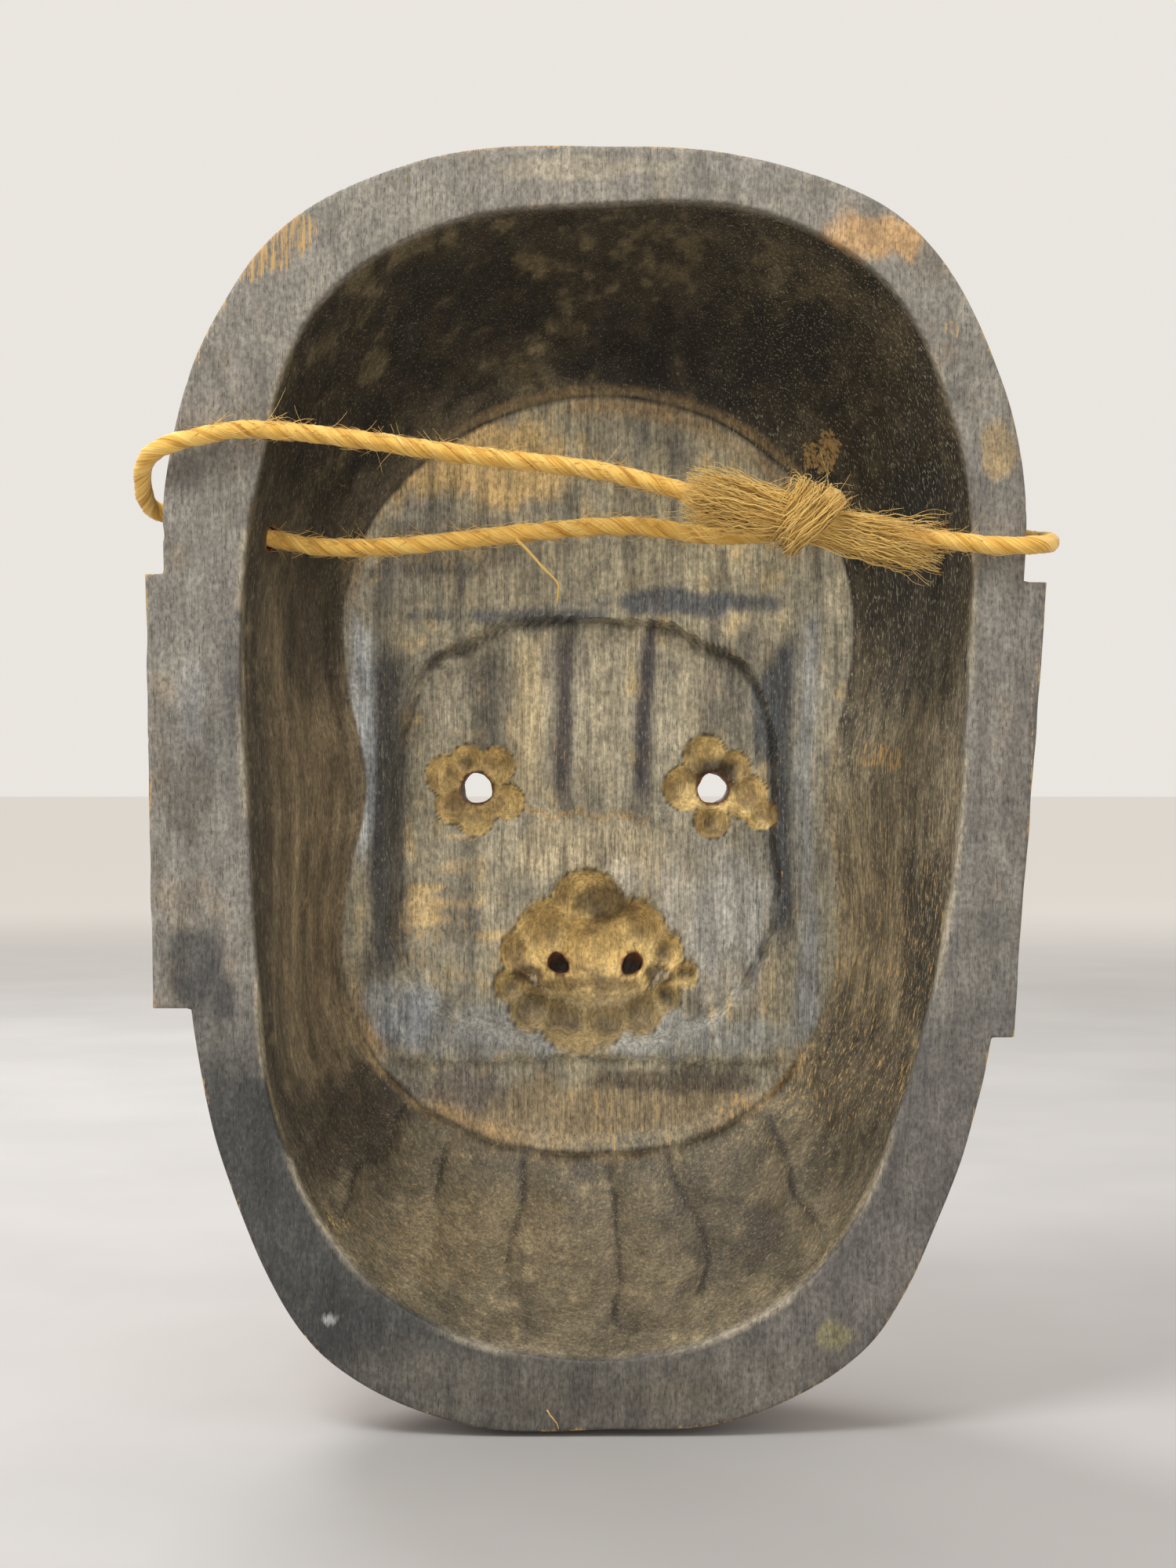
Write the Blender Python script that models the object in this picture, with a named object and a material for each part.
"""A carved wooden face mask with a twine hanger.

The mask is one block of wood: a face in front, a hollow behind, a sight hole through each pupil, an air hole
behind each nostril, and a hole through each side wall for the twine. The twine is one length, tied to itself.

Metres, +Z to the top of the mask. The origin is on the flat back rim, midway across its top. The face looks
towards -Y and the hollow opens towards +Y, so +X is the wearer's left.
"""

import math

import bmesh
import bpy
import numpy as np

TURN = 2 * math.pi

# The block
CENTRE_Z = -0.148  # half the mask's height, which is also the eye line
DOME_DEPTH = 0.088  # from the rim's plane to the front of the head, without its features
DOME_SIDE_POWER = 3.0  # how square the head is in plan
DOME_FRONT_POWER = 2.3  # how flat it is in front
EDGE_POINTS = (  # (x, z) round the back edge, without the ears
    (0.000, 0.007),
    (0.044, 0.003),
    (0.076, -0.013),
    (0.095, -0.041),
    (0.104, -0.075),
    (0.1045, -0.095),
    (0.101, -0.148),
    (0.096, -0.213),
    (0.086, -0.250),
    (0.066, -0.285),
    (0.034, -0.301),
    (0.000, -0.303),
    (-0.035, -0.300),
    (-0.063, -0.285),
    (-0.084, -0.249),
    (-0.095, -0.211),
    (-0.101, -0.148),
    (-0.1035, -0.097),
    (-0.104, -0.078),
    (-0.096, -0.044),
    (-0.077, -0.013),
    (-0.044, 0.003),
)
EAR_THICKNESS = 0.044  # how far each ear slab runs forward of the rim's plane
EAR_STEP = 0.001  # the depth of the cut that ends it
EAR_RING_DEPTHS = (0.010, 0.022, 0.034, EAR_THICKNESS)
EARS = (  # the slab's outer edge as (x, z) at its top and at its bottom
    ((0.109, -0.096), (0.107, -0.201)),
    ((-0.109, -0.098), (-0.101, -0.208)),
)
RIM_FALL = 0.0012  # how far the hand-cut rim falls away from its flat top, at the sides and the chin
RIM_FLAT_Z = -0.030  # the rim is flat above this height

# The hollow
HOLLOW_DEPTH = 0.062
MOUTH_POINTS = (  # (x, z) round the hollow's edge, in the rim's plane
    (0.000, -0.0070),
    (0.037, -0.0120),
    (0.067, -0.0310),
    (0.081, -0.0690),
    (0.0855, -0.130),
    (0.082, -0.190),
    (0.073, -0.240),
    (0.050, -0.271),
    (0.014, -0.285),
    (-0.022, -0.283),
    (-0.052, -0.266),
    (-0.074, -0.224),
    (-0.087, -0.163),
    (-0.0905, -0.112),
    (-0.087, -0.060),
    (-0.069, -0.025),
    (-0.038, -0.0085),
)
FLOOR_POINTS = (  # (x, z) round the hollow's floor
    (0.008, -0.0440),
    (0.036, -0.0540),
    (0.056, -0.0710),
    (0.061, -0.1480),
    (0.057, -0.2220),
    (0.033, -0.2400),
    (0.000, -0.2450),
    (-0.034, -0.2380),
    (-0.055, -0.2190),
    (-0.0615, -0.148),
    (-0.058, -0.0710),
    (-0.034, -0.0510),
)
WALL_POWER = 1.5  # above 1, the hollow's wall is steepest at the rim

# The face: heights are fractions of the mask's height, down from its top
MASK_HEIGHT = 0.310
MASK_TOP = 0.007
EYE_X = 0.032
BROW = 0.43
NOSE_TIP = 0.645
NOSE_BASE = 0.69
MOUTH = 0.79
CHIN = 0.92
HAIRLINE = 0.14
NOSE_HEIGHT = 0.024
HAIR_HEIGHT = 0.004

# Holes
SIGHT_RADIUS = 0.0042
AIR_RADIUS = 0.0028
NOSTRIL_X = 0.009
AIR_INNER = (-0.062, -0.190)  # (y, z) of an air hole's axis in the hollow
AIR_OUTER = (-0.106, -0.209)  # and in front, under the nose
TWINE_HOLE_RADIUS = 0.0031
TWINE_HOLE_Y = -0.0185
TWINE_HOLES = (  # each axis as (x, z), inside the hollow and outside the head: the left one slants
    ((0.0600, -0.0905), (0.1250, -0.0756)),
    ((-0.0600, -0.0860), (-0.1250, -0.0860)),
)

# The twine
TWINE_RADIUS = 0.0021
TWINE_POINTS = (  # from the knot over the left rim, in by the left hole, out by the right one, to the knot
    (-0.0410, 0.0030, -0.0812),
    (-0.0216, 0.0030, -0.0768),
    (0.0000, 0.0028, -0.0716),
    (0.0300, 0.0028, -0.0680),
    (0.0600, 0.0028, -0.0638),
    (0.0830, 0.0029, -0.0618),
    (0.0970, 0.0031, -0.0640),
    (0.1055, 0.0028, -0.0668),
    (0.1096, -0.0030, -0.0706),
    (0.1108, -0.0105, -0.0753),
    (0.1100, -0.0160, -0.0783),
    (0.1070, -0.0184, -0.0797),
    (0.1030, -0.0185, -0.0806),
    (0.0930, -0.0185, -0.0829),
    (0.0815, -0.0185, -0.0856),
    (0.0768, -0.0184, -0.0866),
    (0.0710, -0.0180, -0.0876),
    (0.0640, -0.0172, -0.0882),
    (0.0460, -0.0148, -0.0879),
    (0.0150, -0.0105, -0.0850),
    (-0.0080, -0.0078, -0.0838),
    (-0.0300, -0.0066, -0.0864),
    (-0.0450, -0.0068, -0.0852),
    (-0.0600, -0.0085, -0.0824),
    (-0.0730, -0.0135, -0.0836),
    (-0.0800, -0.0170, -0.0852),
    (-0.0860, -0.0185, -0.0860),
    (-0.0960, -0.0185, -0.0860),
    (-0.1030, -0.0185, -0.0860),
    (-0.1065, -0.0184, -0.0860),
    (-0.1098, -0.0162, -0.0864),
    (-0.1110, -0.0105, -0.0873),
    (-0.1098, -0.0032, -0.0885),
    (-0.1055, 0.0026, -0.0895),
    (-0.0960, 0.0029, -0.0896),
    (-0.0800, 0.0028, -0.0880),
    (-0.0592, 0.0030, -0.0848),
)
TWINE_STEP = 0.0060  # between the points of the finished curve
KNOT_PLACE = (-0.0500, 0.0030, -0.0832)
KNOT_HALF_SIZE = (0.0085, 0.0060, 0.0062)
TAIL_RADIUS = 0.0024
TAIL_FLARE = 0.5  # how much wider a frayed end is, as a share
TAILS = {  # each cut end, from the knot to where it has frayed apart
    "twine_tail_left": ((-0.0400, 0.0068, -0.0858), (-0.0310, 0.0078, -0.0832), (-0.0222, 0.0090, -0.0800)),
    "twine_tail_right": ((-0.0585, 0.0036, -0.0900), (-0.0680, 0.0036, -0.0922), (-0.0775, 0.0032, -0.0944)),
}

# Mesh density
SECTORS = 72
FRONT_RINGS = 22
WALL_RINGS = 6
FLOOR_RINGS = 9


def clear_scene():
    for item in list(bpy.data.objects):
        bpy.data.objects.remove(item, do_unlink=True)


def material(name, colour, roughness):
    made = bpy.data.materials.new(name)
    made.use_nodes = True
    shader = made.node_tree.nodes["Principled BSDF"]
    shader.inputs["Base Color"].default_value = (*colour, 1.0)
    shader.inputs["Roughness"].default_value = roughness
    shader.inputs["Metallic"].default_value = 0.0
    return made


def add_object(name, data, look):
    made = bpy.data.objects.new(name, data)
    bpy.context.scene.collection.objects.link(made)
    data.materials.append(look)
    return made


# ---- outlines, as a distance from the block's centre line in every direction


def smooth_radius(points, angles):
    """The radius at each angle of a smooth closed outline through the points."""
    x, z = np.array(points).T
    at = np.arctan2(z - CENTRE_Z, x) % TURN
    order = np.argsort(at)
    at = at[order]
    radius = np.hypot(x, z - CENTRE_Z)[order]
    at = np.concatenate((at[-2:] - TURN, at, at[:2] + TURN))
    radius = np.concatenate((radius[-2:], radius, radius[:2]))
    slope = np.gradient(radius, at)
    i = np.searchsorted(at, angles, side="right") - 1
    span = at[i + 1] - at[i]
    t = (angles - at[i]) / span
    ease = t * t * (3 - 2 * t)
    leave = slope[i] * t * (1 - t) ** 2
    arrive = slope[i + 1] * t * t * (1 - t)
    return radius[i] * (1 - ease) + radius[i + 1] * ease + span * (leave - arrive)


def ear_radius(ear, angles):
    """How far an ear slab reaches at each angle, and zero on the other side of the head."""
    (top_x, top_z), (low_x, low_z) = ear
    side = math.copysign(1, top_x)
    across = np.cos(angles) * side
    up = np.sin(angles)
    lean = (abs(top_x) - abs(low_x)) / (top_z - low_z)
    outer = (abs(top_x) + lean * (CENTRE_Z - top_z)) / np.maximum(across - lean * up, 1e-6)
    above = np.where(up > 0, (top_z - CENTRE_Z) / np.maximum(up, 1e-6), np.inf)
    below = np.where(up < 0, (low_z - CENTRE_Z) / np.minimum(up, -1e-6), np.inf)
    return np.where(across > 0.1, np.minimum(outer, np.minimum(above, below)), 0.0)


def sector_angles():
    """Even angles round the block, with one at each corner of the ears in place of its neighbours."""
    corners = []
    for ear in EARS:
        for x, z in ear:
            corners.append(math.atan2(z - CENTRE_Z, x) % TURN)
            corners.append(math.atan2(z - CENTRE_Z, math.copysign(0.0995, x)) % TURN)
    even = np.arange(SECTORS) * TURN / SECTORS
    kept = [a for a in even if min(abs(a - c) for c in corners) > 0.012]
    return np.array(sorted(kept + corners))


def on_ring(radius, angles, y):
    return np.stack((radius * np.cos(angles), y + 0 * angles, CENTRE_Z + radius * np.sin(angles)), axis=1)


# ---- the face, as a height in front of the smooth head


def bump(x, z, place, spread, height):
    return height * np.exp(-(((x - place[0]) / spread[0]) ** 2) - ((z - place[1]) / spread[1]) ** 2)


def down(fraction):
    """The z of a fraction of the mask's height, measured down from its top."""
    return MASK_TOP - fraction * MASK_HEIGHT


def step(value, start, end):
    t = np.clip((value - start) / (end - start), 0, 1)
    return t * t * (3 - 2 * t)


def nose_relief(x, z):
    along = np.clip((down(0.42) - z) / (down(0.42) - down(NOSE_TIP)), 0, 1)
    half_width = 0.0065 + 0.0055 * along
    bridge = (0.20 + 0.80 * along**1.4) * NOSE_HEIGHT * np.exp(-((np.abs(x) / half_width) ** 2.6))
    wings = bump(np.abs(x), z, (0.013, down(0.665)), (0.0075, 0.0075), 0.011)
    under = step(z, down(NOSE_BASE), down(NOSE_BASE) + 0.007)
    return np.maximum(bridge, wings) * under * step(z, down(0.36), down(0.42))


def face_relief(x, z):
    """Height of the carved features. The face is symmetric, so |x| serves both sides."""
    side = np.abs(x)
    brow_z = down(BROW) - 0.006 * ((side - 0.030) / 0.026) ** 2
    brow = 0.0035 * np.exp(-(((z - brow_z) / 0.0065) ** 2)) * step(side, 0.004, 0.014) * step(side, 0.062, 0.048)
    socket = bump(side, z, (EYE_X, CENTRE_Z), (0.022, 0.014), -0.0065)
    eye = bump(side, z, (EYE_X, CENTRE_Z), (0.0135, 0.0085), 0.0055)
    cheek = bump(side, z, (0.050, down(0.62)), (0.024, 0.026), 0.0045)
    lips = bump(side, z, (0.0, down(MOUTH)), (0.024, 0.0095), 0.0065)
    chin = bump(side, z, (0.0, down(CHIN)), (0.030, 0.020), 0.011)
    hairline_z = down(HAIRLINE) - 0.055 * (side / 0.085) ** 3
    hair = HAIR_HEIGHT * step(z, hairline_z - 0.003, hairline_z + 0.003)
    return brow + socket + eye + cheek + lips + chin + hair + nose_relief(x, z)


def head_radius(edge, depth):
    """The head's own outline at a depth forward of the rim's plane."""
    lean = math.asin((depth / DOME_DEPTH) ** (DOME_FRONT_POWER / 2))
    return edge * math.cos(lean) ** (2 / DOME_SIDE_POWER)


def front_rings(edge, ears, angles):
    """Rings from just forward of the rim's outer edge to near the middle of the face."""
    rings = []
    for depth in EAR_RING_DEPTHS:
        rings.append(on_ring(np.maximum(ears, head_radius(edge, depth)), angles, -depth))
    rings.append(on_ring(head_radius(edge, EAR_THICKNESS + EAR_STEP), angles, -EAR_THICKNESS - EAR_STEP))
    for t in np.linspace(0.0, 1.0, FRONT_RINGS, endpoint=False)[1:]:
        depth = DOME_DEPTH * math.sin(math.pi / 2 * (1 - (1 - t) ** 1.25)) ** (2 / DOME_FRONT_POWER)
        if depth > EAR_THICKNESS + 4 * EAR_STEP:
            radius = head_radius(edge, depth)
            ring = on_ring(radius, angles, -depth)
            ring[:, 1] -= face_relief(ring[:, 0], ring[:, 2]) * step(radius / edge, 0.97, 0.84)
            rings.append(ring)
    return rings


# ---- the hollow


def floor_relief(x, z):
    """How much deeper than the plain floor the hollow is behind the face."""
    face = 0.0045 * step(np.abs(x), 0.050, 0.042) * step(z, down(0.70), down(0.66)) * step(z, down(0.31), down(0.35))
    nose = bump(x, z, (0.0, down(0.645)), (0.020, 0.018), 0.013)
    return np.maximum(face, nose)


def rim_ring(radius, angles):
    """A ring of the rim's back face, which is flat at the top and falls away a little lower down."""
    ring = on_ring(radius, angles, 0.0)
    ring[:, 1] = -RIM_FALL * step(ring[:, 2], RIM_FLAT_Z, RIM_FLAT_Z - 0.035)
    return ring


def hollow_rings(angles):
    """Rings from the hollow's mouth down its wall and across its floor."""
    mouth = smooth_radius(MOUTH_POINTS, angles)
    floor = smooth_radius(FLOOR_POINTS, angles)
    rings = [rim_ring(mouth, angles)]
    for t in np.linspace(0.0, 1.0, WALL_RINGS + 1)[1:]:
        y = -HOLLOW_DEPTH * (1 - (1 - t) ** WALL_POWER)
        rings.append(on_ring(mouth + (floor - mouth) * t, angles, y))
    for share in np.linspace(1.0, 0.0, FLOOR_RINGS, endpoint=False)[1:]:
        ring = on_ring(floor * share, angles, -HOLLOW_DEPTH)
        ring[:, 1] -= floor_relief(ring[:, 0], ring[:, 2]) * step(share, 1.0, 0.85)
        rings.append(ring)
    return rings


def block_mesh():
    """The carved block: rings from the middle of the face, round the rim, to the middle of the hollow's floor."""
    angles = sector_angles()
    edge = smooth_radius(EDGE_POINTS, angles)
    ears = np.maximum(ear_radius(EARS[0], angles), ear_radius(EARS[1], angles))
    front = front_rings(edge, ears, angles)
    rings = front[::-1] + [rim_ring(np.maximum(edge, ears), angles)] + hollow_rings(angles)
    zero = np.array([0.0])
    face_y = -DOME_DEPTH - face_relief(zero, zero + CENTRE_Z)[0]
    floor_y = -HOLLOW_DEPTH - floor_relief(zero, zero + CENTRE_Z)[0]
    form = bmesh.new()
    loops = [[form.verts.new(point) for point in ring] for ring in rings]
    ends = (form.verts.new((0, face_y, CENTRE_Z)), form.verts.new((0, floor_y, CENTRE_Z)))
    for inner, outer in zip(loops, loops[1:]):
        for i, j in neighbours(len(angles)):
            form.faces.new((inner[i], inner[j], outer[j], outer[i]))
    for loop, end in zip((loops[0], loops[-1]), ends):
        for i, j in neighbours(len(angles)):
            form.faces.new((loop[i], loop[j], end))
    bmesh.ops.recalc_face_normals(form, faces=form.faces)
    mesh = bpy.data.meshes.new("mask_body")
    form.to_mesh(mesh)
    form.free()
    return mesh


def neighbours(count):
    return [(i, (i + 1) % count) for i in range(count)]


def add_drill(name, start, end, radius):
    """A hidden round cutter from start to end."""
    axis = np.array(end) - np.array(start)
    length = float(np.linalg.norm(axis))
    form = bmesh.new()
    bmesh.ops.create_cone(
        form, cap_ends=True, cap_tris=False, segments=16, radius1=radius, radius2=radius, depth=length
    )
    mesh = bpy.data.meshes.new(name)
    form.to_mesh(mesh)
    form.free()
    drill = bpy.data.objects.new(name, mesh)
    bpy.context.scene.collection.objects.link(drill)
    drill.location = (np.array(start) + np.array(end)) / 2
    pitch = math.acos(axis[2] / length)
    yaw = math.atan2(axis[1], axis[0])
    drill.rotation_euler = (0, pitch, yaw)
    drill.hide_render = True
    drill.display_type = "WIRE"
    return drill


def drills():
    made = []
    for side in (1, -1):
        x = side * EYE_X
        made.append(add_drill("sight_drill", (x, -0.040, CENTRE_Z), (x, -0.120, CENTRE_Z), SIGHT_RADIUS))
        x = side * NOSTRIL_X
        made.append(add_drill("air_drill", (x, *AIR_INNER), (x, *AIR_OUTER), AIR_RADIUS))
    for (inner_x, inner_z), (outer_x, outer_z) in TWINE_HOLES:
        inner = (inner_x, TWINE_HOLE_Y, inner_z)
        outer = (outer_x, TWINE_HOLE_Y, outer_z)
        made.append(add_drill("twine_drill", inner, outer, TWINE_HOLE_RADIUS))
    return made


def add_mask_body():
    body = add_object("mask_body", block_mesh(), material("carved_wood", (0.16, 0.13, 0.11), 0.75))
    for i, drill in enumerate(drills()):
        cut = body.modifiers.new(f"hole_{i}", "BOOLEAN")
        cut.operation = "DIFFERENCE"
        cut.solver = "EXACT"
        cut.object = drill
    body.data.shade_smooth()
    body.data.set_sharp_from_angle(angle=math.radians(35))


# ---- the twine


def smooth_route(points, spacing):
    """Evenly spaced points on a smooth curve through the given ones."""
    p = np.array(points)
    p = np.vstack((2 * p[0] - p[1], p, 2 * p[-1] - p[-2]))
    t = np.linspace(0, 1, 24, endpoint=False)[:, None]
    fine = []
    for a, b, c, d in zip(p, p[1:], p[2:], p[3:]):
        fine.append(b + 0.5 * t * (c - a + t * (2 * a - 5 * b + 4 * c - d + t * (3 * (b - c) + d - a))))
    fine = np.vstack((*fine, p[-2]))
    along = np.concatenate(([0], np.cumsum(np.linalg.norm(np.diff(fine, axis=0), axis=1))))
    stops = np.linspace(0, along[-1], round(along[-1] / spacing) + 1)
    return np.stack([np.interp(stops, along, fine[:, k]) for k in range(3)], axis=1)


def add_tube(name, route, radius, look, flare=0.0):
    """A round cord along the route, flared towards its far end."""
    curve = bpy.data.curves.new(name, "CURVE")
    curve.dimensions = "3D"
    curve.bevel_depth = radius
    curve.bevel_resolution = 2
    curve.use_fill_caps = True
    spline = curve.splines.new("POLY")
    spline.points.add(len(route) - 1)
    for i, (point, place) in enumerate(zip(spline.points, route)):
        point.co = (*place, 1.0)
        point.radius = 1.0 + flare * i / (len(route) - 1)
    return add_object(name, curve, look)


def add_knot(look):
    form = bmesh.new()
    bmesh.ops.create_uvsphere(form, u_segments=16, v_segments=10, radius=1.0)
    bmesh.ops.scale(form, vec=KNOT_HALF_SIZE, verts=form.verts)
    bmesh.ops.translate(form, vec=KNOT_PLACE, verts=form.verts)
    mesh = bpy.data.meshes.new("twine_knot")
    form.to_mesh(mesh)
    form.free()
    add_object("twine_knot", mesh, look)
    mesh.shade_smooth()


def add_twine():
    look = material("twine", (0.78, 0.45, 0.10), 0.85)
    add_tube("twine_strand", smooth_route(TWINE_POINTS, TWINE_STEP), TWINE_RADIUS, look)
    add_knot(material("twine_knot", (0.80, 0.47, 0.12), 0.85))
    for name, points in TAILS.items():
        tail_look = material(name, (0.84, 0.55, 0.17), 0.9)
        add_tube(name, smooth_route(points, 2 * TAIL_RADIUS), TAIL_RADIUS, tail_look, TAIL_FLARE)


def main():
    clear_scene()
    add_mask_body()
    add_twine()


main()
